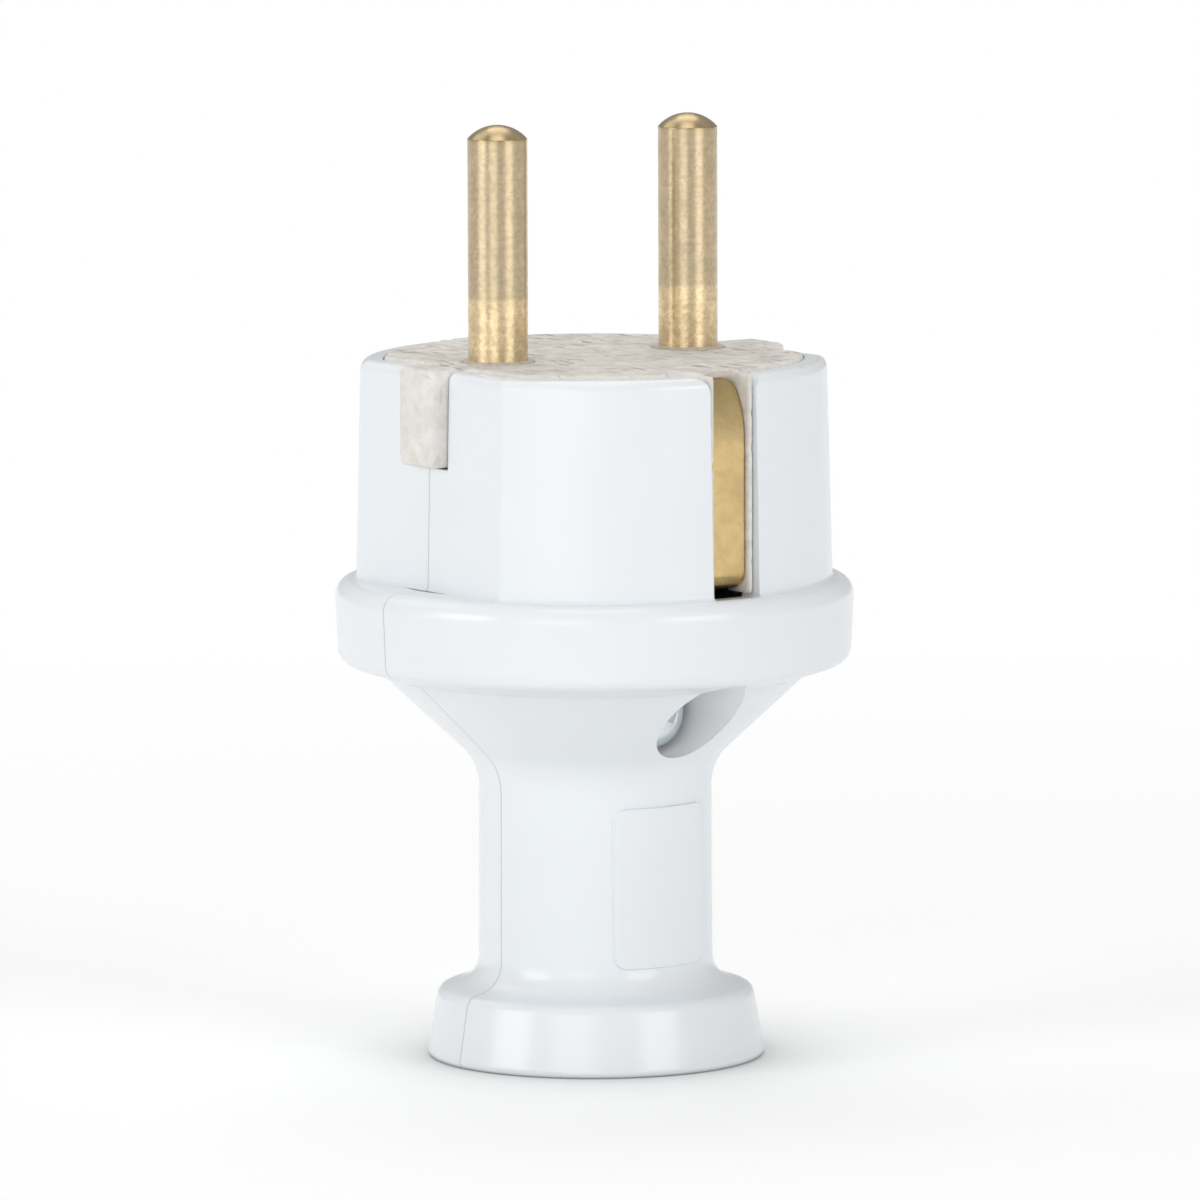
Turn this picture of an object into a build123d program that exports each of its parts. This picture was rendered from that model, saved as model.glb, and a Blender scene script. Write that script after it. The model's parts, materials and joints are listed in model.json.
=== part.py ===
from build123d import *

import math
import os

# Rewirable two-pin earthed plug with side earth contacts, millimetres.
# It stands on its foot: +Z runs from the cord entry up to the pins, X runs through both pins,
# and the casing parts into a front half (-Y) and a rear half (+Y) on the plane Y = 0.

# Pins
pin_diameter = 4.8
pin_pitch = 19.0
pin_reach = 19.0
pin_dome = 1.1
pin_root_diameter = 5.7
pin_root_rise = 0.1
pin_hole_clearance = 0.08
barrel_diameter = 7.0
barrel_wall = 1.4
barrel_length = 12.8
barrel_edge = 0.3
wire_hole_diameter = 3.4
wire_hole_depth = 9.6

# Terminal screws, one across each pin barrel
terminal_screw_diameter = 3.5
terminal_screw_below_barrel_top = 8.0
terminal_head_diameter = 5.6
terminal_head_height = 2.1
terminal_head_gap = 0.9
terminal_bite = 0.7
terminal_window_diameter = 6.4

# Ceramic core
contact_face_z = 57.0
core_disc_depth = 12.0
core_face_edge = 0.35
core_fit = 0.06
pin_socket_depth = 7.0
tower_depth = 8.6
tower_depth_in_y = 13.2
tower_inner_x = 4.7
core_lower_edge = 1.2
core_groove_drop = 8.15
core_groove_height = 2.0
core_groove_depth = 1.6

# Keys of the core: plain ones on X, and one on each side of Y that carries the earth strap
key_width = 4.7
key_drop = 1.0
key_height = 8.0
key_edge = 0.5
earth_key_width = 4.3
earth_key_floor_gap = 0.15

# Earth strap: one bent brass strip, from one side contact to the other below the core
strap_width = 3.2
strap_thickness = 0.9
strap_drop = 0.8
strap_sunk = 0.6
strap_top_drop = 0.7
strap_tuck_radius = 8.0
strap_tuck_start = 5.5
strap_low_drop = 17.5
strap_bend = 1.6
strap_side_gap = 0.1
strap_eye_diameter = 9.0
strap_tip_radius = 1.1

# Earth terminal in the middle of the strap
earth_screw_diameter = 4.0
earth_screw_length = 8.0
earth_head_diameter = 7.0
earth_head_height = 2.4
earth_nut_width = 7.0
earth_nut_height = 2.2
earth_nut_edge = 0.4
earth_washer_diameter = 8.6
earth_washer_thickness = 1.0
earth_washer_edge = 0.3
screw_tip_room = 0.8

# Edges of all slotted screws, and how far the hidden cutters pass the surfaces that they cut
screw_head_edge = 0.25
screw_tip_edge = 0.35
overcut = 1.0

# Casing, outside
rim_drop = 0.3
rim_edge = 0.8
body_radius = 18.8
body_draft_degrees = 1.4
flat_edge = 1.0
flange_ledge = 1.77
flange_top_z = 39.0
flange_base_z = 32.4
flange_side_taper = 0.3
flange_base_round = 1.2
flange_root_round = 0.3
cone_ledge = 3.7
cone_top_z = 31.3
cone_top_round = 0.9
neck_radius = 9.4
neck_foot_swell = 0.08
cone_foot_z = 23.95
cone_foot_round = 4.5
foot_radius = 13.72
foot_edge = 0.5
shoulder_radius = 12.75
shoulder_z = 5.55
shoulder_round = 0.9
neck_foot_z = 6.45
neck_foot_round = 2.3

# Bare pad on the neck
pad_height = 13.0
pad_width = 8.8
pad_base_z = 8.2
pad_relief = 0.28
pad_corner = 1.0

# Casing, inside
rim_wall = 1.8
flat_wall = 1.65
neck_wall = 1.7
cone_wall = 2.3
flange_wall = 2.5
chamber_base_z = 25.6
chamber_top_rise = 0.7
chamber_round = 1.0
flange_inner_round = 0.8
foot_inner_round = 0.6
cord_bore_radius = 4.3
cord_mouth_edge = 0.9
foot_web = 1.8
foot_relief_height = 2.4
foot_wall = 2.4
foot_rib_top_z = 7.2
core_rib_clearance = 0.15

# Earth slots, key windows and screw recess in the casing
slot_width = 4.5
slot_mouth_flare = 2.7
slot_mouth_round = 1.3
slot_floor_round = 0.4
slot_floor_drop = 0.2
window_gap = 0.1

# Assembly screw and nut, across the parting plane below the core
assembly_z = 28.7
assembly_diameter = 3.5
assembly_clearance = 0.3
assembly_head_diameter = 5.8
assembly_head_height = 2.4
assembly_head_round = 1.05
assembly_tip_edge = 0.5
assembly_seat_y = 6.4
assembly_recess_diameter = 6.8
assembly_boss_diameter = 9.8
nut_width = 6.0
nut_height = 2.8
nut_pocket_gap = 0.2
nut_seat_y = 6.0
screw_past_nut = 0.6
cross_recess_depth = 1.4
cross_recess_width = 3.4
cross_recess_floor_width = 1.2
cross_recess_slot = 0.8
cross_recess_turn = 20.0

# Locating pegs on the rear half
peg_diameter = 1.5
peg_height = 1.4
peg_gap = 0.1
flange_peg_z = 35.6
foot_peg_x = 8.6
foot_peg_z = 5.35

# Cord clamp in the neck: a saddle moulded in the rear half, a bar and two screws
saddle_face_y = 0.9
saddle_base_z = 11.5
saddle_height = 7.0
cord_groove_depth = 5.1
cord_groove_wall = 0.75
clamp_bar_end_gap = 0.5
clamp_bar_width = 5.2
clamp_bar_thickness = 1.6
clamp_bar_corner = 1.2
clamp_ridge = 0.7
clamp_ridge_room = 0.4
clamp_hole_gap = 0.15
clamp_screw_diameter = 2.5
clamp_screw_inset = 2.1
clamp_screw_length = 5.2
clamp_head_diameter = 4.2
clamp_head_height = 1.4
driver_slot_width = 0.7
driver_slot_depth = 0.7
screw_hole_gap = 0.03
tap_hole_room = 0.6

# Sizes that follow from the ones above
rim_z = contact_face_z - rim_drop
body_foot_radius = body_radius + (rim_z - flange_top_z) * math.tan(math.radians(body_draft_degrees))
flange_radius = body_foot_radius + flange_ledge
flange_top_round = flange_ledge * 0.8
cone_top_radius = flange_radius - cone_ledge
cavity_radius = body_radius - rim_wall
core_radius = cavity_radius - core_fit
core_flat = pin_pitch / 2 + barrel_diameter / 2 + barrel_wall
cavity_flat = core_flat + core_fit
flat_reach = cavity_flat + flat_wall
flange_peg_x = flange_radius - flange_wall / 2
key_reach = body_radius - key_drop
strap_reach = body_radius - strap_drop
earth_key_reach = strap_reach + strap_sunk
core_disc_base_z = contact_face_z - core_disc_depth
core_groove_top_z = contact_face_z - core_groove_drop
barrel_top_z = contact_face_z - pin_socket_depth
barrel_base_z = barrel_top_z - barrel_length
tower_base_z = core_disc_base_z - tower_depth
strap_top_z = contact_face_z - strap_top_drop
strap_tuck_z = contact_face_z - strap_tuck_start
strap_low_z = contact_face_z - strap_low_drop
core_web_base_z = strap_low_z + strap_thickness
strap_upright_z = strap_low_z + strap_bend + strap_thickness
terminal_screw_z = barrel_top_z - terminal_screw_below_barrel_top
terminal_tip_y = -(wire_hole_diameter / 2 - terminal_bite)
terminal_seat_y = -(barrel_diameter / 2 + terminal_head_gap)
neck_bore_radius = neck_radius - neck_wall
flange_bore_radius = flange_radius - flange_wall
foot_relief_radius = shoulder_radius - foot_wall
clamp_bar_length = 2 * (neck_bore_radius - clamp_bar_end_gap)
clamp_screw_pitch = clamp_bar_length - 2 * clamp_screw_inset
cord_groove_width = clamp_screw_pitch - clamp_screw_diameter - 2 * cord_groove_wall
cord_groove_y = saddle_face_y + cord_groove_depth - cord_groove_width / 2
clamp_mid_z = saddle_base_z + saddle_height / 2
beyond = 5.0


def solid_of_revolution(points, radii):
    """Turn an outline of (radius, height) corners, each rounded by its own radius, about Z."""
    with BuildPart() as turned:
        with BuildSketch(Plane.XZ):
            with BuildLine():
                outline = FilletPolyline(*points, radius=radii)
                Line(outline @ 1, outline @ 0)
            make_face()
        revolve(axis=Axis.Z)
    return turned.part


def rod_z(radius, low, high, x=0.0, y=0.0):
    """Upright cylinder between two heights."""
    return Pos(x, y, (low + high) / 2) * Cylinder(radius, high - low)


def rod_y(radius, near, far, x=0.0, z=0.0):
    """Cylinder along Y between two values of Y."""
    return Pos(x, (near + far) / 2, z) * Rot(90, 0, 0) * Cylinder(radius, far - near)


def block(x_low, x_high, y_low, y_high, z_low, z_high):
    """Box between two corners."""
    centre = Pos((x_low + x_high) / 2, (y_low + y_high) / 2, (z_low + z_high) / 2)
    return centre * Box(x_high - x_low, y_high - y_low, z_high - z_low)


def outline_along_y(points, radii, near, far):
    """Closed outline of (x, z) corners with rounded corners, as a solid from near to far in Y."""
    path = FilletPolyline(*[(x, 0, z) for x, z in points], radius=radii, close=True)
    face = make_face(path.edges())
    return Pos(0, near, 0) * extrude(face, amount=far - near, dir=(0, 1, 0))


def outline_along_x(points, radii, half_width):
    """Closed outline of (y, z) corners with rounded corners, as a solid centred on X = 0."""
    path = FilletPolyline(*[(0, y, z) for y, z in points], radius=radii, close=True)
    face = make_face(path.edges())
    return Pos(-half_width, 0, 0) * extrude(face, amount=2 * half_width, dir=(1, 0, 0))


def flat_sided_disc(radius, flat, low, high):
    """Disc with two flats, at X = -flat and X = +flat."""
    return rod_z(radius, low, high) & block(-flat, flat, -radius, radius, low, high)


# Casing


def casing_outside():
    """Outer form of the whole casing: foot, neck, cone, flange and the drafted body with flats."""
    corners = [
        (0, 0),
        (foot_radius, 0),
        (shoulder_radius, shoulder_z),
        (neck_radius + neck_foot_swell, neck_foot_z),
        (neck_radius, cone_foot_z),
        (cone_top_radius, cone_top_z),
        (flange_radius - flange_side_taper, flange_base_z),
        (flange_radius, flange_top_z),
        (0, flange_top_z),
    ]
    rounds = [
        foot_edge,
        shoulder_round,
        neck_foot_round,
        cone_foot_round,
        cone_top_round,
        flange_base_round,
        flange_top_round,
    ]
    lower = solid_of_revolution(corners, rounds)
    rim_outline = Circle(body_radius) & Rectangle(2 * flat_reach, 4 * body_radius)
    rim_outline = fillet(rim_outline.vertices(), flat_edge)
    body = extrude(Pos(0, 0, rim_z) * rim_outline, amount=flange_top_z - rim_z, taper=-body_draft_degrees)
    top_edges = body.edges().filter_by(lambda edge: edge.bounding_box().min.Z > rim_z - 0.001)
    form = fillet(top_edges, rim_edge) + lower
    return fillet(form.edges().filter_by(is_body_root), flange_root_round)


def is_body_root(edge):
    """True for the edges where the body meets the top of the flange."""
    box = edge.bounding_box()
    level = max(abs(box.min.Z - flange_top_z), abs(box.max.Z - flange_top_z)) < 0.001
    middle = edge @ 0.5
    return level and math.hypot(middle.X, middle.Y) < body_foot_radius + 0.001


def neck_pad():
    """Slightly raised blank pad that wraps the front of the neck."""
    half = pad_width / 2
    top = pad_base_z + pad_height
    corners = [(-half, pad_base_z), (half, pad_base_z), (half, top), (-half, top)]
    plate = outline_along_y(corners, pad_corner, -neck_radius - beyond, 0)
    return plate & rod_z(neck_radius + pad_relief, pad_base_z, top)


def casing_inside():
    """Space inside the casing: cord bore, foot relief, neck, wiring chamber and core seat."""
    chamber_slope = (cone_top_radius - neck_radius) / (cone_top_z - cone_foot_z)
    chamber_top_z = cone_top_z + chamber_top_rise
    chamber_top_radius = neck_bore_radius + (chamber_top_z - chamber_base_z) * chamber_slope
    relief_top_z = foot_web + foot_relief_height
    corners = [
        (0, -beyond),
        (cord_bore_radius, -beyond),
        (cord_bore_radius, foot_web),
        (foot_relief_radius, foot_web),
        (foot_relief_radius, relief_top_z),
        (cord_bore_radius, relief_top_z),
        (cord_bore_radius, foot_rib_top_z),
        (neck_bore_radius, foot_rib_top_z),
        (neck_bore_radius, chamber_base_z),
        (chamber_top_radius, chamber_top_z),
        (flange_bore_radius, flange_base_z + flange_wall),
        (flange_bore_radius, flange_top_z - cone_wall),
        (cavity_radius, flange_top_z),
        (cavity_radius, core_disc_base_z - beyond / 2),
        (0, core_disc_base_z - beyond / 2),
    ]
    rounds = [0, 0, foot_inner_round, foot_inner_round, 0, 0, foot_inner_round]
    rounds += [0, chamber_round, chamber_round, flange_inner_round, 0, 0]
    space = solid_of_revolution(corners, rounds)
    mouth = Cone(cord_bore_radius + cord_mouth_edge, cord_bore_radius, cord_mouth_edge)
    space += Pos(0, 0, cord_mouth_edge / 2) * mouth
    seat = flat_sided_disc(cavity_radius, cavity_flat, flange_top_z, contact_face_z + beyond)
    rib_radius = core_radius - core_groove_depth + core_rib_clearance
    rib_low = core_groove_top_z - core_groove_height + core_rib_clearance
    rib_high = core_groove_top_z - core_rib_clearance
    rib = rod_z(body_radius, rib_low, rib_high) - rod_z(rib_radius, rib_low, rib_high)
    upper = space & rod_z(flange_radius, flange_top_z, contact_face_z)
    flats = flat_sided_disc(flange_radius, cavity_flat, flange_top_z, contact_face_z)
    space = (space - upper) + (upper & flats)
    return space + (seat - rib)


def earth_slot():
    """Cutter for the slots on both sides of Y, with a flared mouth at the rim."""
    half = slot_width / 2
    mouth = half + slot_mouth_flare
    floor_z = flange_top_z - slot_floor_drop
    corners = [
        (-half, floor_z),
        (half, floor_z),
        (half, rim_z),
        (mouth, rim_z),
        (mouth, rim_z + beyond),
        (-mouth, rim_z + beyond),
        (-mouth, rim_z),
        (-half, rim_z),
    ]
    rounds = [slot_floor_round, slot_floor_round, slot_mouth_round, 0, 0, 0, 0, slot_mouth_round]
    reach = body_foot_radius + flange_root_round
    through = outline_along_y(corners, rounds, -reach, reach)
    middle = flat_sided_disc(core_radius - core_groove_depth, reach, floor_z - overcut, rim_z + 2 * beyond)
    return through - middle


def key_window():
    """Cutter for the openings in both flats that the plain keys stand through."""
    half = key_width / 2 + window_gap
    floor_z = contact_face_z - key_height - window_gap
    reach = flat_reach + beyond
    return (
        block(-reach, -cavity_flat / 2, -half, half, floor_z, rim_z + beyond)
        + block(cavity_flat / 2, reach, -half, half, floor_z, rim_z + beyond)
    )


def half_space(side):
    """Everything on one side of the parting plane, -1 for the front and 1 for the rear."""
    reach = flange_radius + beyond
    y_low, y_high = sorted((0, side * reach))
    return block(-reach, reach, y_low, y_high, -beyond, contact_face_z + beyond)


def boss(side):
    """Tube across the wiring chamber that carries the assembly screw."""
    near, far = sorted((0, side * flange_radius))
    return rod_y(assembly_boss_diameter / 2, near, far, z=assembly_z)


def assembly_hole():
    """Cutter for the screw's clearance hole through both bosses."""
    radius = assembly_diameter / 2 + assembly_clearance
    return rod_y(radius, -flange_radius, flange_radius, z=assembly_z)


def peg_places():
    """X and Z of the four locating pegs."""
    return [
        (side * x, z)
        for side in (-1, 1)
        for x, z in ((flange_peg_x, flange_peg_z), (foot_peg_x, foot_peg_z))
    ]


def front_shell(outside, inside):
    shell = (outside - inside) & half_space(-1)
    shell += boss(-1) & outside
    shell += neck_pad() - inside
    recess_far = -flange_radius - beyond
    shell -= rod_y(assembly_recess_diameter / 2, recess_far, -assembly_seat_y, z=assembly_z)
    shell -= assembly_hole()
    for x, z in peg_places():
        shell -= rod_y(peg_diameter / 2 + peg_gap, -peg_height - peg_gap, beyond, x=x, z=z)
    shell -= earth_slot()
    shell -= key_window()
    return shell


def rear_shell(outside, inside):
    shell = (outside - inside) & half_space(1)
    shell += boss(1) & outside
    saddle_top_z = saddle_base_z + saddle_height
    saddle = block(-neck_radius, neck_radius, saddle_face_y, neck_radius, saddle_base_z, saddle_top_z)
    shell += saddle & rod_z(neck_radius - neck_wall / 2, saddle_base_z, saddle_top_z)
    groove_half = cord_groove_width / 2
    groove_low = saddle_base_z - overcut
    groove_high = saddle_top_z + overcut
    shell -= rod_z(groove_half, groove_low, groove_high, y=cord_groove_y)
    shell -= block(-groove_half, groove_half, 0, cord_groove_y, groove_low, groove_high)
    tap_far = saddle_face_y - clamp_bar_thickness + clamp_screw_length + tap_hole_room
    for side in (-1, 1):
        shell -= rod_y(
            clamp_screw_diameter / 2 + screw_hole_gap, 0, tap_far,
            x=side * clamp_screw_pitch / 2, z=clamp_mid_z,
        )
    shell -= assembly_hole()
    pocket = Pos(0, nut_seat_y, assembly_z) * Rot(-90, 0, 0) * extrude(
        RegularPolygon((nut_width + nut_pocket_gap) / 2, 6, major_radius=False), amount=flange_radius
    )
    shell -= pocket
    shell -= earth_slot()
    shell -= key_window()
    for x, z in peg_places():
        shell += rod_y(peg_diameter / 2, -peg_height, peg_height, x=x, z=z)
    return shell


# Ceramic core


def strap_side_outline(outer, inner, low, high):
    """Section of one side contact in the Y-Z plane: straight up, then tucked in towards the core."""
    centre_y = strap_reach - strap_tuck_radius
    top_angle = math.degrees(math.asin((high - strap_tuck_z) / strap_tuck_radius))
    outer_arc = CenterArc((0, 0), strap_tuck_radius + outer - strap_reach, 0, top_angle)
    inner_arc = CenterArc((0, 0), strap_tuck_radius + inner - strap_reach, 0, top_angle)
    shift = Pos(centre_y, strap_tuck_z)
    outer_arc = shift * outer_arc
    inner_arc = shift * inner_arc
    edges = [
        Line((inner, low), (outer, low)),
        Line((outer, low), outer_arc @ 0),
        outer_arc,
        Line(outer_arc @ 1, inner_arc @ 1),
        inner_arc,
        Line(inner_arc @ 0, (inner, low)),
    ]
    return make_face(edges)


def side_contact(outer, inner, low, high, half_width):
    """Solid of one side contact on +Y, from its section in the Y-Z plane."""
    section = Plane(origin=(-half_width, 0, 0), x_dir=(0, 1, 0), z_dir=(1, 0, 0)) * strap_side_outline(
        outer, inner, low, high
    )
    return extrude(section, amount=2 * half_width, dir=(1, 0, 0))


def both_sides(solid):
    """A solid and its mirror image across the plane Y = 0."""
    return solid + mirror(solid, about=Plane.XZ)


def ceramic_core():
    core = flat_sided_disc(core_radius, core_flat, core_disc_base_z, contact_face_z)
    groove_low = core_groove_top_z - core_groove_height
    groove_radius = core_radius - core_groove_depth
    core -= rod_z(body_radius, groove_low, core_groove_top_z) - rod_z(
        groove_radius, groove_low, core_groove_top_z
    )
    half_key = key_width / 2
    half_earth_key = earth_key_width / 2
    keys = block(
        -key_reach, key_reach, -half_key, half_key, contact_face_z - key_height, contact_face_z
    )
    keys = fillet(keys.edges().filter_by(Axis.Z), key_edge)
    lower_ends = keys.edges().group_by(Axis.Z)[0].filter_by(
        lambda edge: abs(edge.center().X) > key_reach - 1.5 * key_edge
    )
    keys = fillet(lower_ends, key_edge)
    core += keys
    core += block(
        -half_earth_key, half_earth_key, -earth_key_reach, earth_key_reach, core_web_base_z, contact_face_z
    )
    cheek_base_z = flange_top_z + earth_key_floor_gap
    cheeks = block(
        -half_earth_key, half_earth_key, -earth_key_reach, earth_key_reach, cheek_base_z, core_web_base_z
    )
    core += cheeks - rod_z(groove_radius, cheek_base_z, core_web_base_z)
    half_tower = tower_depth_in_y / 2
    lower = block(-core_flat, core_flat, -half_tower, half_tower, tower_base_z, core_disc_base_z)
    lower = fillet(lower.edges().filter_by(Axis.Z), core_lower_edge)
    lower -= block(
        -tower_inner_x, tower_inner_x, -half_tower, half_tower, tower_base_z - overcut, core_web_base_z
    )
    core += lower & rod_z(core_radius, tower_base_z, core_disc_base_z)
    top_edges = core.edges().filter_by(
        lambda edge: edge.bounding_box().min.Z > contact_face_z - 0.001
    )
    core = chamfer(top_edges, core_face_edge)
    core -= strap_channel()
    for side in (-1, 1):
        x = side * pin_pitch / 2
        core -= rod_z(pin_root_diameter / 2 + pin_hole_clearance, tower_base_z, contact_face_z + overcut, x=x)
        core -= rod_z(barrel_diameter / 2 + pin_hole_clearance, tower_base_z - overcut, barrel_top_z, x=x)
        core -= rod_y(terminal_window_diameter / 2, -core_radius, 0, x=x, z=terminal_screw_z) & block(
            x - beyond, x + beyond, -half_tower - overcut, 0, tower_base_z, core_disc_base_z
        )
    half_nut = earth_nut_width / 2 + pin_hole_clearance
    nut_roof = core_web_base_z + earth_nut_height + pin_hole_clearance
    core -= block(-half_nut, half_nut, -half_nut, half_nut, core_web_base_z - overcut, nut_roof)
    screw_top = strap_low_z - earth_washer_thickness + earth_screw_length
    core -= rod_z(
        earth_screw_diameter / 2 + assembly_clearance, core_web_base_z, screw_top + screw_tip_room
    )
    return core


def strap_channel():
    """Channels in the earth keys that the side contacts lie in."""
    half = strap_width / 2 + strap_side_gap
    top = strap_top_z + strap_side_gap
    side = side_contact(strap_reach + beyond, strap_reach - strap_thickness, strap_low_z, top, half)
    under = block(-half, half, 0, earth_key_reach + overcut, strap_low_z - beyond, core_web_base_z)
    return both_sides(side + strap_corner(half) + under)


# Brass and steel pieces


def contact_pin(side):
    """Turned pin: domed contact end, a root that fills its hole in the core, and a terminal barrel."""
    x = side * pin_pitch / 2
    tip_z = contact_face_z + pin_reach
    root_top_z = contact_face_z + pin_root_rise
    radius = pin_diameter / 2
    root = pin_root_diameter / 2
    barrel = barrel_diameter / 2
    dome_radius = (radius ** 2 + pin_dome ** 2) / (2 * pin_dome)
    with BuildPart() as turned:
        with BuildSketch(Plane.XZ):
            with BuildLine():
                profile = FilletPolyline(
                    (0, barrel_base_z), (barrel, barrel_base_z), (barrel, barrel_top_z),
                    (root, barrel_top_z), (root, root_top_z), (radius, root_top_z),
                    (radius, tip_z - pin_dome),
                    radius=[barrel_edge, 0, 0, 0, 0],
                )
                dome = RadiusArc(profile @ 1, (0, tip_z), -dome_radius)
                Line(dome @ 1, profile @ 0)
            make_face()
        revolve(axis=Axis.Z)
    pin = turned.part
    pin -= rod_z(wire_hole_diameter / 2, barrel_base_z - overcut, barrel_base_z + wire_hole_depth)
    pin -= rod_y(
        terminal_screw_diameter / 2 + screw_hole_gap, -barrel, 0, z=terminal_screw_z
    )
    return Pos(x, 0, 0) * pin


def slotted_screw(diameter, length, head_diameter, head_height):
    """Cheese-head screw along Z, its head's underside at Z = 0 and its slotted head below."""
    head = Pos(0, 0, -head_height / 2) * Cylinder(head_diameter / 2, head_height)
    head = chamfer(head.edges().group_by(Axis.Z)[0], screw_head_edge)
    shank = Pos(0, 0, length / 2) * Cylinder(diameter / 2, length)
    shank = chamfer(shank.edges().group_by(Axis.Z)[-1], screw_tip_edge)
    slot = block(
        -head_diameter, head_diameter, -driver_slot_width / 2, driver_slot_width / 2,
        -head_height - overcut, -head_height + driver_slot_depth,
    )
    return head + shank - slot


def terminal_screw(side):
    length = terminal_tip_y - terminal_seat_y
    screw = slotted_screw(terminal_screw_diameter, length, terminal_head_diameter, terminal_head_height)
    return Pos(side * pin_pitch / 2, terminal_seat_y, terminal_screw_z) * Rot(-90, 0, 0) * screw


def strap_corner(half_width):
    """The strap's run below the core and its bend up to one side contact, on +Y."""
    inner = strap_reach - strap_thickness
    corner = [
        (0, strap_low_z),
        (strap_reach, strap_low_z),
        (strap_reach, strap_upright_z),
        (inner, strap_upright_z),
        (inner, core_web_base_z),
        (0, core_web_base_z),
    ]
    inside_bend = strap_bend - strap_thickness
    return outline_along_x(corner, [0, strap_bend, 0, 0, inside_bend, 0], half_width)


def earth_strap():
    half = strap_width / 2
    side = side_contact(strap_reach, strap_reach - strap_thickness, strap_upright_z, strap_top_z, half)
    tip_outline = [
        (-half, strap_low_z - overcut),
        (half, strap_low_z - overcut),
        (half, strap_top_z),
        (-half, strap_top_z),
    ]
    rounded_tip = outline_along_y(
        tip_outline, [0, 0, strap_tip_radius, strap_tip_radius], -beyond, strap_reach + beyond
    )
    strap = both_sides((side + strap_corner(half)) & rounded_tip)
    strap += rod_z(strap_eye_diameter / 2, strap_low_z, core_web_base_z)
    return strap - earth_screw_hole()


def earth_screw_hole():
    """Cutter for the earth screw's hole in the strap, the nut and the washer."""
    low = strap_low_z - earth_washer_thickness - overcut
    high = core_web_base_z + earth_nut_height + overcut
    return rod_z(earth_screw_diameter / 2 + screw_hole_gap, low, high)


def earth_nut():
    half = earth_nut_width / 2
    nut = block(-half, half, -half, half, core_web_base_z, core_web_base_z + earth_nut_height)
    nut = chamfer(nut.edges().filter_by(Axis.Z), earth_nut_edge)
    return nut - earth_screw_hole()


def earth_washer():
    """Round clamping washer with an edge on its wire side."""
    washer = rod_z(earth_washer_diameter / 2, strap_low_z - earth_washer_thickness, strap_low_z)
    washer = chamfer(washer.edges().group_by(Axis.Z)[0], earth_washer_edge)
    return washer - earth_screw_hole()


def earth_screw():
    seat = strap_low_z - earth_washer_thickness
    screw = slotted_screw(earth_screw_diameter, earth_screw_length, earth_head_diameter, earth_head_height)
    return Pos(0, 0, seat) * screw


def assembly_screw():
    """Pan-head screw with a cross recess, along +Y from its seat in the front half."""
    length = assembly_seat_y + nut_seat_y + nut_height + screw_past_nut
    radius = assembly_head_diameter / 2
    head = Pos(0, 0, -assembly_head_height / 2) * Cylinder(radius, assembly_head_height)
    head = fillet(head.edges().group_by(Axis.Z)[0], assembly_head_round)
    shank = Pos(0, 0, length / 2) * Cylinder(assembly_diameter / 2, length)
    shank = chamfer(shank.edges().group_by(Axis.Z)[-1], assembly_tip_edge)
    half = cross_recess_width / 2
    floor_half = cross_recess_floor_width / 2
    arm_outline = Polyline(
        (-half, -overcut), (half, -overcut), (half, 0), (floor_half, cross_recess_depth),
        (-floor_half, cross_recess_depth), (-half, 0), close=True,
    )
    arm = extrude(make_face(arm_outline), amount=cross_recess_slot / 2, both=True)
    arm = Pos(0, 0, -assembly_head_height) * Rot(90, 0, 0) * arm
    screw = head + shank - arm - Rot(0, 0, 90) * arm
    screw = Rot(-90, 0, 0) * Rot(0, 0, cross_recess_turn) * screw
    return Pos(0, -assembly_seat_y, assembly_z) * screw


def assembly_nut():
    nut = extrude(RegularPolygon(nut_width / 2, 6, major_radius=False), amount=nut_height)
    nut -= rod_z(assembly_diameter / 2 + screw_hole_gap, -overcut, nut_height + overcut)
    return Pos(0, nut_seat_y, assembly_z) * Rot(-90, 0, 0) * nut


def cord_clamp_bar():
    """Flat bar with rounded ends and a ridge that bites the cord."""
    near = saddle_face_y - clamp_bar_thickness
    half_length = clamp_bar_length / 2
    half_width = clamp_bar_width / 2
    corners = [
        (-half_length, clamp_mid_z - half_width),
        (half_length, clamp_mid_z - half_width),
        (half_length, clamp_mid_z + half_width),
        (-half_length, clamp_mid_z + half_width),
    ]
    bar = outline_along_y(corners, clamp_bar_corner, near, saddle_face_y)
    ridge_half = cord_groove_width / 2 - clamp_ridge_room
    ridge = Pos(0, saddle_face_y, clamp_mid_z) * Rot(0, 90, 0) * Cylinder(clamp_ridge, 2 * ridge_half)
    bar += ridge
    for side in (-1, 1):
        bar -= rod_y(
            clamp_screw_diameter / 2 + clamp_hole_gap, near - overcut, saddle_face_y + overcut,
            x=side * clamp_screw_pitch / 2, z=clamp_mid_z,
        )
    return bar


def cord_clamp_screw(side):
    screw = slotted_screw(clamp_screw_diameter, clamp_screw_length, clamp_head_diameter, clamp_head_height)
    seat = saddle_face_y - clamp_bar_thickness
    return Pos(side * clamp_screw_pitch / 2, seat, clamp_mid_z) * Rot(-90, 0, 0) * screw


def plug_parts():
    outside = casing_outside()
    inside = casing_inside()
    return {
        "front_shell": front_shell(outside, inside),
        "rear_shell": rear_shell(outside, inside),
        "ceramic_core": ceramic_core(),
        "left_pin": contact_pin(-1),
        "right_pin": contact_pin(1),
        "left_terminal_screw": terminal_screw(-1),
        "right_terminal_screw": terminal_screw(1),
        "earth_strap": earth_strap(),
        "earth_nut": earth_nut(),
        "earth_washer": earth_washer(),
        "earth_screw": earth_screw(),
        "assembly_screw": assembly_screw(),
        "assembly_nut": assembly_nut(),
        "cord_clamp_bar": cord_clamp_bar(),
        "left_clamp_screw": cord_clamp_screw(-1),
        "right_clamp_screw": cord_clamp_screw(1),
    }


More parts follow.
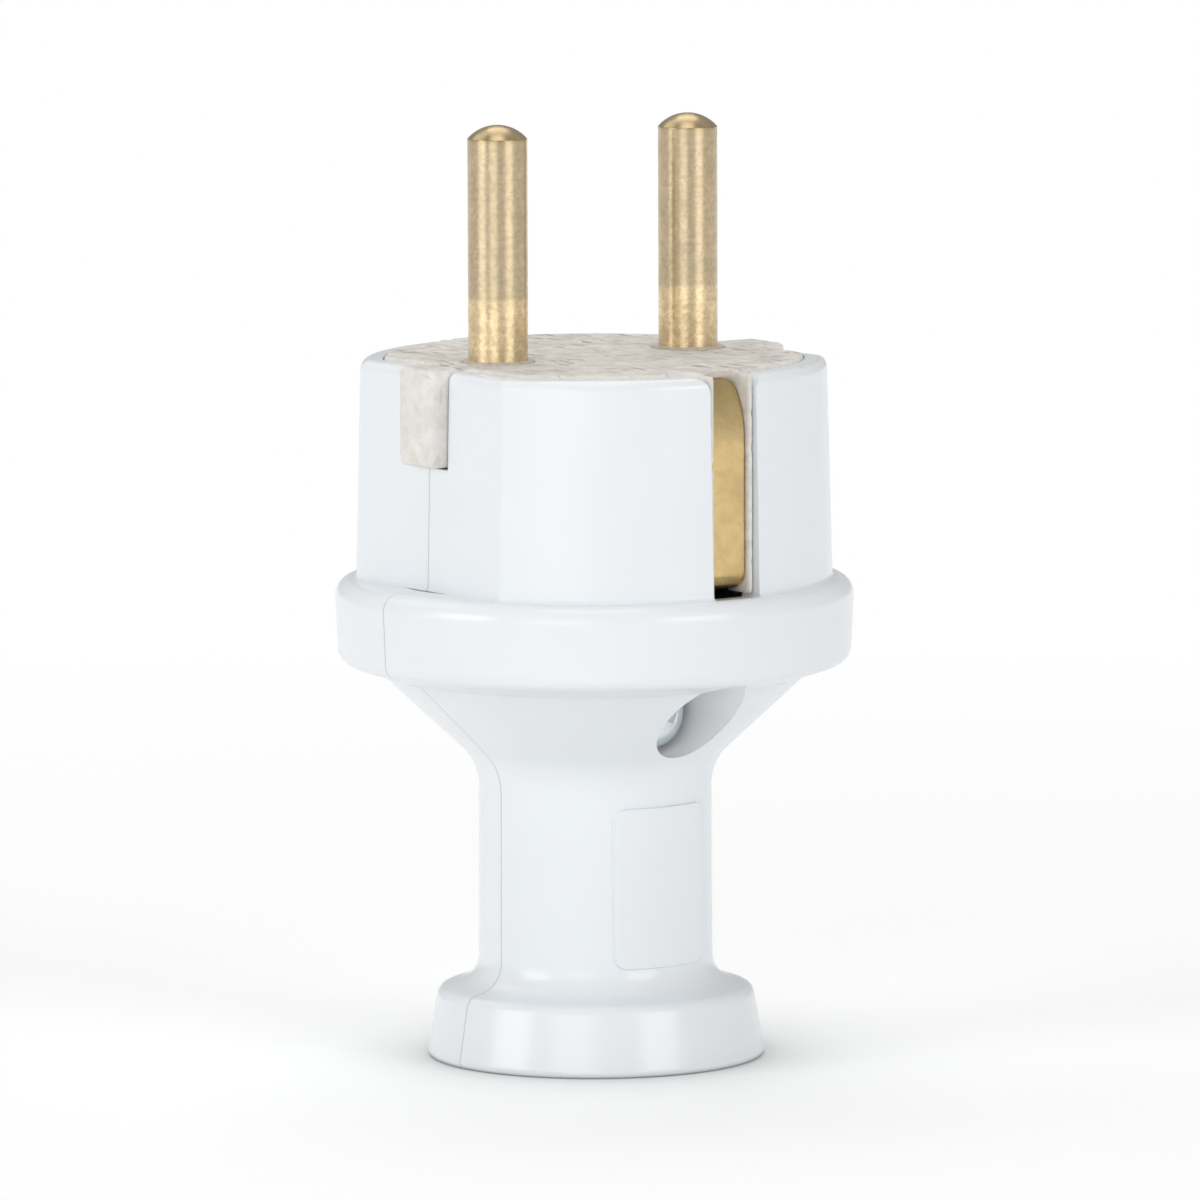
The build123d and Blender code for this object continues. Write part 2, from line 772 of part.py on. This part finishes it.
os.makedirs("parts", exist_ok=True)
for node, solid in plug_parts().items():
    solid.label = node
    export_step(solid, f"parts/{node}.step")
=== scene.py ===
import json
import math

import bmesh
import bpy
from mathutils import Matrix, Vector, noise


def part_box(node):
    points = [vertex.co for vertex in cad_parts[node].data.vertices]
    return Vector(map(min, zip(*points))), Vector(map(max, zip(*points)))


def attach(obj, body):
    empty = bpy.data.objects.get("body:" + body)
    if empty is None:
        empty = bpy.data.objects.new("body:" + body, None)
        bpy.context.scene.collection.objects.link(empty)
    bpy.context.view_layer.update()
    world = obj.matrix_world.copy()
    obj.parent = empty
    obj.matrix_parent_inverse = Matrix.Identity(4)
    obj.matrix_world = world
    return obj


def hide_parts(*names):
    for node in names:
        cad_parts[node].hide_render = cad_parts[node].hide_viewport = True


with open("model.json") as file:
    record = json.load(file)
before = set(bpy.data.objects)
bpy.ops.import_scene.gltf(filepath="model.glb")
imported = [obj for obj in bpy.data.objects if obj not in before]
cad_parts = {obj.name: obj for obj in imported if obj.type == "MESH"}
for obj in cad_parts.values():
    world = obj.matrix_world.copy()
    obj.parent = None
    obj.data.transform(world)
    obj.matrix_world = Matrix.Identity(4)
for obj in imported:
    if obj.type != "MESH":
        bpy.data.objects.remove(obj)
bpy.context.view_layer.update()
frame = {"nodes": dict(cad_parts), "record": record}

MM = 0.001
nodes = frame["nodes"]

# Heights and sizes of the plug that the looks follow, in metres
face_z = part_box("ceramic_core")[1].z
pin_tip_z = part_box("left_pin")[1].z
screw_z = sum(corner.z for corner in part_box("assembly_screw")) / 2
recess_radius = 3.4 * MM

# Camera: angles in degrees, azimuth 0 looking along +Y
camera_azimuth = -36.4
camera_elevation = 7.06
camera_distance = 1.0
camera_lens = 371.4
camera_sensor = 36.0
camera_roll = 0.2
camera_near = 0.05
camera_far = 30.0
view_centre_right = 0.44 * MM
view_centre_z = 37.0 * MM

# Studio light: name, azimuth from the camera's own side, elevation, watts
softboxes = (
    ("left_softbox", -62, 15, 2.1),
    ("front_softbox", -16, 9, 1.1),
    ("right_softbox", 46, 15, 1.95),
    ("left_rear_softbox", -130, 50, 0.6),
    ("right_rear_softbox", 130, 50, 0.1),
    ("rear_softbox", 180, 56, 1.2),
    ("top_softbox", 0, 84, 1.1),
)
softbox_side = 0.45
softbox_distance = 0.9
softbox_target_z = 40 * MM
room_light = 0.44

# Floor
floor_half = 6.0
floor_glow = 0.16
floor_fade = (70 * MM, 260 * MM)
contact_shade_reach = 9 * MM

# Fine mesh of the ceramic core, and how deep its pressed skin goes
core_voxel = 0.27 * MM
weld_distance = 1e-6
uneven_depth = 0.02 * MM
rough_depth = 0.03 * MM
chip_depth = 0.35 * MM
chip_threshold = 0.42


def direction(azimuth, elevation):
    """Unit vector from the object to a viewer, azimuth 0 looking along +Y."""
    a, e = math.radians(azimuth), math.radians(elevation)
    return Vector((math.sin(a) * math.cos(e), -math.cos(a) * math.cos(e), math.sin(e)))


def aim(thing, target):
    """Turns a camera or a lamp so that it looks at a point."""
    thing.rotation_euler = (target - thing.location).to_track_quat("-Z", "Y").to_euler()


def place_in_scene(name, data):
    """New object for camera, lamp or mesh data, linked to the scene."""
    thing = bpy.data.objects.new(name, data)
    bpy.context.scene.collection.objects.link(thing)
    return thing


def make_camera():
    data = bpy.data.cameras.new("camera")
    data.lens = camera_lens
    data.sensor_width = camera_sensor
    data.clip_start = camera_near
    data.clip_end = camera_far
    camera = place_in_scene("camera", data)
    a = math.radians(camera_azimuth)
    right = Vector((math.cos(a), math.sin(a), 0.0))
    target = right * view_centre_right + Vector((0.0, 0.0, view_centre_z))
    camera.location = target + direction(camera_azimuth, camera_elevation) * camera_distance
    aim(camera, target)
    camera.rotation_euler.rotate_axis("Z", math.radians(-camera_roll))
    bpy.context.scene.camera = camera


def make_lights():
    """Square soft boxes around the plug, and an even white room."""
    target = Vector((0.0, 0.0, softbox_target_z))
    for name, azimuth, elevation, power in softboxes:
        data = bpy.data.lights.new(name, "AREA")
        data.shape = "RECTANGLE"
        data.size = softbox_side
        data.size_y = softbox_side
        data.energy = power
        lamp = place_in_scene(name, data)
        lamp.location = target + direction(camera_azimuth + azimuth, elevation) * softbox_distance
        aim(lamp, target)
    world = bpy.data.worlds.new("studio")
    bpy.context.scene.world = world
    world.use_nodes = True
    background = world.node_tree.nodes["Background"]
    background.inputs["Color"].default_value = (1.0, 1.0, 1.0, 1.0)
    background.inputs["Strength"].default_value = room_light


# Shader building blocks. Object coordinates are in metres, so a texture's scale is in cells per metre.


class Shader:
    """Small helper that adds nodes to one material and links them."""

    def __init__(self, name):
        self.material = bpy.data.materials.new(name)
        self.material.use_nodes = True
        self.tree = self.material.node_tree
        self.tree.nodes.clear()
        self.output = self.add("ShaderNodeOutputMaterial")
        coordinates = self.add("ShaderNodeTexCoord")
        self.place = coordinates.outputs["Object"]
        self.facing = coordinates.outputs["Normal"]

    def add(self, kind, **settings):
        node = self.tree.nodes.new(kind)
        for key, value in settings.items():
            setattr(node, key, value)
        return node

    def link(self, source, target):
        self.tree.links.new(source, target)

    def feed(self, socket, value):
        """Links a socket to an input, or sets a number, or a colour without its alpha."""
        if isinstance(value, bpy.types.NodeSocket):
            self.link(value, socket)
        elif isinstance(value, (int, float)):
            socket.default_value = value
        else:
            socket.default_value = (*value, 1.0)

    def mapped(self, scale, turn=(0, 0, 0)):
        """Object coordinates, scaled and turned."""
        node = self.add("ShaderNodeMapping")
        node.inputs["Scale"].default_value = scale
        node.inputs["Rotation"].default_value = turn
        self.link(self.place, node.inputs["Vector"])
        return node.outputs["Vector"]

    def noise(self, scale, detail=3.0, roughness=0.5, vector=None, distortion=0.0):
        node = self.add("ShaderNodeTexNoise")
        node.inputs["Scale"].default_value = scale
        node.inputs["Detail"].default_value = detail
        node.inputs["Roughness"].default_value = roughness
        node.inputs["Distortion"].default_value = distortion
        self.link(vector or self.place, node.inputs["Vector"])
        return node.outputs["Fac"]

    def cells(self, scale):
        """Distance to the nearest of many scattered points."""
        node = self.add("ShaderNodeTexVoronoi", feature="F1")
        node.inputs["Scale"].default_value = scale
        self.link(self.place, node.inputs["Vector"])
        return node.outputs["Distance"]

    def ramp(self, factor, *stops):
        """Colour ramp from (place, colour) stops; a number stands for a grey."""
        node = self.add("ShaderNodeValToRGB")
        elements = node.color_ramp.elements
        while len(elements) < len(stops):
            elements.new(0.5)
        for element, (place, colour) in zip(elements, stops):
            element.position = place
            grey = isinstance(colour, (int, float))
            element.color = (colour, colour, colour, 1.0) if grey else (*colour, 1.0)
        self.link(factor, node.inputs["Fac"])
        return node.outputs["Color"]

    def mix(self, factor, first, second):
        """Mix of two colours, each of them a socket or a plain colour."""
        node = self.add("ShaderNodeMix", data_type="RGBA")
        for index, value in ((0, factor), (6, first), (7, second)):
            self.feed(node.inputs[index], value)
        return node.outputs[2]

    def math(self, operation, first, second=0.0):
        node = self.add("ShaderNodeMath", operation=operation)
        for socket, value in zip(node.inputs, (first, second)):
            self.feed(socket, value)
        return node.outputs["Value"]

    def add_up(self, first, second):
        return self.math("ADD", first, second)

    def times(self, first, second):
        return self.math("MULTIPLY", first, second)

    def bump(self, height, strength, distance, under=None):
        node = self.add("ShaderNodeBump")
        node.inputs["Strength"].default_value = strength
        node.inputs["Distance"].default_value = distance
        self.link(height, node.inputs["Height"])
        if under is not None:
            self.link(under, node.inputs["Normal"])
        return node.outputs["Normal"]

    def edge(self, radius):
        """Normal that rolls over the sharp edges of a piece."""
        node = self.add("ShaderNodeBevel", samples=6)
        node.inputs["Radius"].default_value = radius
        return node.outputs["Normal"]

    def axis(self, letter, vector=None):
        split = self.add("ShaderNodeSeparateXYZ")
        self.link(vector or self.place, split.inputs["Vector"])
        return split.outputs[letter]

    def share(self, value, low, high):
        """Where a value lies between two others, from 0 to 1."""
        node = self.add("ShaderNodeMapRange")
        node.inputs["From Min"].default_value = low
        node.inputs["From Max"].default_value = high
        self.link(value, node.inputs["Value"])
        return node.outputs["Result"]

    def height_share(self, low, high):
        """How far up a point lies between two heights, from 0 to 1."""
        return self.share(self.axis("Z"), low, high)

    def surface(self, colour, roughness, normal, **sockets):
        """Principled surface as the material's output."""
        node = self.add("ShaderNodeBsdfPrincipled")
        self.link(colour, node.inputs["Base Color"])
        self.link(roughness, node.inputs["Roughness"])
        self.link(normal, node.inputs["Normal"])
        for name, value in sockets.items():
            self.feed(node.inputs[name.replace("_", " ")], value)
        self.link(node.outputs["BSDF"], self.output.inputs["Surface"])
        return self.material


# Materials


def moulded_white():
    """Glossy white thermoset: faint flow clouds, a fine dark parting line, and painted light in the screw
    recess, whose walls are painted lighter than the casing.
    """
    s = Shader("moulded_white")
    cooler, lighter = (0.842, 0.875, 0.901), (0.858, 0.891, 0.917)
    parting_grey, recess_painted_light = (0.6, 0.62, 0.63), (0.965, 0.975, 0.985)
    clouds = s.noise(60, 3, 0.5, distortion=0.6)
    colour = s.ramp(clouds, (0.3, cooler), (0.7, lighter))

    off_plane = s.math("ABSOLUTE", s.axis("Y"))
    line = s.ramp(s.share(off_plane, 0.0, 0.08 * MM), (0.3, 1.0), (1.0, 0.0))
    colour = s.mix(line, colour, parting_grey)

    # Painted light: the screw recess walls are painted near white, standing in for light that reaches into
    # the recess.
    across, above = s.axis("X"), s.add_up(s.axis("Z"), -screw_z)
    off_axis = s.math("POWER", s.add_up(s.times(above, above), s.times(across, across)), 0.5)
    recess = s.share(off_axis, recess_radius + 0.08 * MM, recess_radius + 0.02 * MM)
    colour = s.mix(recess, colour, recess_painted_light)

    roughness = s.ramp(s.noise(120, 4, 0.6), (0.35, 0.2), (0.65, 0.25))
    waves = s.bump(s.noise(75, 2, 0.4), 0.05, 0.3 * MM, s.edge(0.13 * MM))
    return s.surface(colour, roughness, waves)


def unglazed_ceramic():
    """Dry-pressed unglazed ceramic: warm, finely mottled and gritty, with pits and short dark marks."""
    s = Shader("unglazed_ceramic")
    dark, middle, light = (0.73, 0.70, 0.655), (0.835, 0.81, 0.77), (0.89, 0.872, 0.838)
    patch, mark, blotch, pit = (0.62, 0.57, 0.5), (0.42, 0.38, 0.33), (0.54, 0.5, 0.43), (0.5, 0.46, 0.4)
    mottle = s.noise(900, 6, 0.65, distortion=0.4)
    colour = s.ramp(mottle, (0.3, dark), (0.5, middle), (0.7, light))
    patches = s.noise(190, 4, 0.6)
    colour = s.mix(s.ramp(patches, (0.36, 0.28), (0.56, 0.0)), colour, patch)

    # Marks, blotches and pits show most on faces that look up
    upward = s.share(s.axis("Z", s.facing), 0.7, 0.95)
    marks = s.noise(640, 2, 0.5, s.mapped((1.9, 0.55, 1.0), (0.0, 0.0, 0.6)))
    marks = s.ramp(marks, (0.32, 1.0), (0.38, 0.0))
    strength = s.add_up(s.times(upward, 0.6), 0.25)
    colour = s.mix(s.times(marks, strength), colour, mark)
    blotches = s.ramp(s.noise(420, 5, 0.6, distortion=0.8), (0.4, 0.5), (0.56, 0.0))
    colour = s.mix(s.times(blotches, upward), colour, blotch)
    pits = s.ramp(s.cells(1300), (0.1, 0.0), (0.25, 1.0))
    pit_shade = s.times(s.ramp(pits, (0.0, 0.4), (0.5, 0.0)), upward)
    colour = s.mix(pit_shade, colour, pit)

    grit = s.noise(2300, 5, 0.7)
    normal = s.bump(grit, 0.5, 0.1 * MM)
    normal = s.bump(pits, 0.25, 0.08 * MM, normal)
    roughness = s.ramp(mottle, (0.3, 0.82), (0.7, 0.66))
    return s.surface(colour, roughness, normal, Specular_IOR_Level=0.35)


def worn_brass(s, upper, lower, low_z, high_z, dullness):
    """Colour that goes from one brass tone to another with height, under stains, and the stains."""
    drift = s.add_up(s.height_share(low_z, high_z), s.times(s.noise(260, 4, 0.6), 0.3))
    colour = s.ramp(drift, (0.42, lower), (0.62, upper))
    stains = s.noise(620, 5, 0.65, distortion=0.5)
    dull = tuple(dullness * channel for channel in upper)
    return s.mix(s.ramp(stains, (0.38, 0.4), (0.6, 0.0)), colour, dull), stains


def brass_surface(s, colour, stains, height, dent_strength, **sockets):
    """Metal with fine relief, shallow dents and softened edges; stained places are rougher."""
    normal = s.bump(height, 0.3, 0.03 * MM, s.edge(0.12 * MM))
    normal = s.bump(s.noise(330, 3, 0.5), dent_strength, 0.2 * MM, normal)
    roughness = s.ramp(stains, (0.3, 0.36), (0.7, 0.25))
    return s.surface(colour, roughness, normal, **sockets)


def turned_brass(name, upper, lower, low_z, high_z):
    """Turned pin: fine rings and grain, a dull dome, and a pale collar at the root."""
    s = Shader(name)
    colour, stains = worn_brass(s, upper, lower, low_z, high_z, 0.8)
    collar_pale, ring_shade = (0.7, 0.64, 0.55), (0.3, 0.26, 0.18)
    grain_shade, dome_shade = (0.36, 0.29, 0.18), (0.44, 0.32, 0.15)
    metal = s.height_share(face_z + 0.12 * MM, face_z + 0.18 * MM)
    colour = s.mix(metal, collar_pale, colour)
    lines = s.noise(1500, 3, 0.6, s.mapped((0.06, 0.06, 2.4)))
    bands = s.noise(420, 3, 0.6, s.mapped((0.1, 0.1, 1.6)))
    colour = s.mix(s.ramp(lines, (0.36, 0.14), (0.6, 0.0)), colour, ring_shade)
    grain = s.ramp(s.noise(2600, 3, 0.6), (0.4, 0.34), (0.55, 0.0))
    colour = s.mix(grain, colour, grain_shade)
    dome = s.height_share(pin_tip_z - 1.45 * MM, pin_tip_z - 1.15 * MM)
    colour = s.mix(s.times(dome, 0.55), colour, dome_shade)
    height = s.add_up(s.times(lines, 0.5), s.times(bands, 0.4))
    around = s.add("ShaderNodeTangent", direction_type="RADIAL", axis="Z").outputs["Tangent"]
    return brass_surface(s, colour, stains, height, 0.15, Metallic=metal, Anisotropic=0.45,
                         Anisotropic_Rotation=0.25, Tangent=around)


def tumbled_brass(name, upper, lower, low_z, high_z):
    """Rolled and tumbled strip: no rings, with shallow dents."""
    s = Shader(name)
    colour, stains = worn_brass(s, upper, lower, low_z, high_z, 0.66)
    return brass_surface(s, colour, stains, s.noise(1500, 4, 0.65), 0.4, Metallic=1.0)


def zinc():
    """Bright zinc plating with a blue cast and fine grain."""
    s = Shader("zinc_plating")
    cloud = s.noise(800, 4, 0.6)
    colour = s.ramp(cloud, (0.3, (0.80, 0.86, 0.90)), (0.7, (0.93, 0.96, 0.97)))
    roughness = s.ramp(cloud, (0.3, 0.42), (0.7, 0.28))
    grain = s.bump(s.noise(3200, 3, 0.6), 0.2, 0.03 * MM, s.edge(0.15 * MM))
    return s.surface(colour, roughness, grain, Metallic=1.0)


def studio_floor():
    """White paper that keeps the plug's shadow and shows white to the camera and in reflections."""
    s = Shader("studio_floor")
    shaded_paper = (0.22, 0.22, 0.22)
    paper = s.ramp(s.noise(14, 2), (0.0, 0.91), (1.0, 0.93))
    nearby = s.add("ShaderNodeAmbientOcclusion", samples=12)
    nearby.inputs["Distance"].default_value = contact_shade_reach
    paper = s.mix(s.ramp(nearby.outputs["AO"], (0.0, 1.0), (0.97, 0.0)), paper, shaded_paper)
    diffuse = s.add("ShaderNodeBsdfDiffuse")
    s.link(paper, diffuse.inputs["Color"])

    rays = s.add("ShaderNodeLightPath")
    seen = s.math("MAXIMUM", rays.outputs["Is Camera Ray"], rays.outputs["Is Glossy Ray"])
    seen = s.math("MAXIMUM", seen, rays.outputs["Is Transmission Ray"])
    glow = s.add("ShaderNodeEmission")
    glow.inputs["Color"].default_value = (1.0, 1.0, 1.0, 1.0)
    s.link(s.times(seen, floor_glow), glow.inputs["Strength"])
    both = s.add("ShaderNodeAddShader")
    s.link(diffuse.outputs["BSDF"], both.inputs[0])
    s.link(glow.outputs["Emission"], both.inputs[1])

    away = s.add("ShaderNodeVectorMath", operation="LENGTH")
    s.link(s.place, away.inputs[0])
    far = s.share(away.outputs["Value"], *floor_fade)
    white = s.add("ShaderNodeEmission")
    fade = s.add("ShaderNodeMixShader")
    s.link(s.times(far, seen), fade.inputs[0])
    s.link(both.outputs["Shader"], fade.inputs[1])
    s.link(white.outputs["Emission"], fade.inputs[2])
    s.link(fade.outputs["Shader"], s.output.inputs["Surface"])
    return s.material


# Pieces


def make_floor():
    mesh = bpy.data.meshes.new("floor")
    corners = [(x * floor_half, y * floor_half, 0) for x, y in ((-1, -1), (1, -1), (1, 1), (-1, 1))]
    mesh.from_pydata(corners, [], [(0, 1, 2, 3)])
    mesh.materials.append(studio_floor())
    floor = place_in_scene("floor", mesh)


def even_mesh(node, size):
    """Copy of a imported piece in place, as an even fine mesh with softened edges."""
    source = nodes[node]
    work = bmesh.new()
    work.from_mesh(source.data)
    work.transform(source.matrix_world)
    bmesh.ops.remove_doubles(work, verts=work.verts, dist=weld_distance)
    mesh = bpy.data.meshes.new(node + "_even")
    work.to_mesh(mesh)
    work.free()
    piece = place_in_scene(node + "_surface", mesh)
    grid = piece.modifiers.new("grid", "REMESH")
    grid.mode = "VOXEL"
    grid.voxel_size = size
    evaluated = piece.evaluated_get(bpy.context.evaluated_depsgraph_get())
    fine = bpy.data.meshes.new_from_object(evaluated)
    piece.modifiers.clear()
    piece.data = fine
    return piece


def press_ceramic(piece):
    """Gives the core a dry-pressed skin: shallow unevenness, small pits and chipped edges, all inwards."""
    vertices = piece.data.vertices
    normals = [vertex.normal.copy() for vertex in vertices]
    chip_offset = Vector((7.0, 3.0, 1.0))
    for vertex, normal in zip(vertices, normals):
        place = vertex.co.copy()
        uneven = 0.5 + 0.5 * noise.noise(place * 650.0)
        rough = 0.5 + 0.5 * noise.noise(place * 2100.0)
        chip = max(0.0, noise.noise(place * 1300.0 + chip_offset) - chip_threshold)
        vertex.co = place - normal * (uneven_depth * uneven + rough_depth * rough + chip_depth * chip)


def replace_core(ceramic):
    core = even_mesh("ceramic_core", core_voxel)
    press_ceramic(core)
    for polygon in core.data.polygons:
        polygon.use_smooth = True
    core.data.materials.clear()
    core.data.materials.append(ceramic)
    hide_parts("ceramic_core")
    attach(core, "root")


def make_finishes():
    """Material of each slot; the brass changes tone between two heights."""
    return {
        "casing": moulded_white(),
        "core": unglazed_ceramic(),
        "pin_brass": turned_brass(
            "pin_brass_worn", (0.62, 0.50, 0.325), (0.87, 0.68, 0.405), face_z + 4.4 * MM, face_z + 6.2 * MM),
        "strap_brass": tumbled_brass(
            "strap_brass_tumbled", (0.67, 0.51, 0.25), (0.73, 0.54, 0.26), face_z - 7 * MM, face_z - 3 * MM),
        "screw_brass": turned_brass(
            "screw_brass_turned", (0.6, 0.5, 0.32), (0.68, 0.55, 0.33), face_z - 20 * MM, face_z),
        "zinc_steel": zinc(),
    }


def dress_nodes(finishes):
    """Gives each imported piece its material."""
    for subpart in frame["record"]["subparts"]:
        piece = nodes[subpart["node"]]
        piece.data.materials.clear()
        piece.data.materials.append(finishes[subpart["material_slot"]])


make_camera()
make_lights()
make_floor()
finishes = make_finishes()
dress_nodes(finishes)
replace_core(finishes["core"])

view = bpy.context.scene.view_settings
view.view_transform = "Standard"
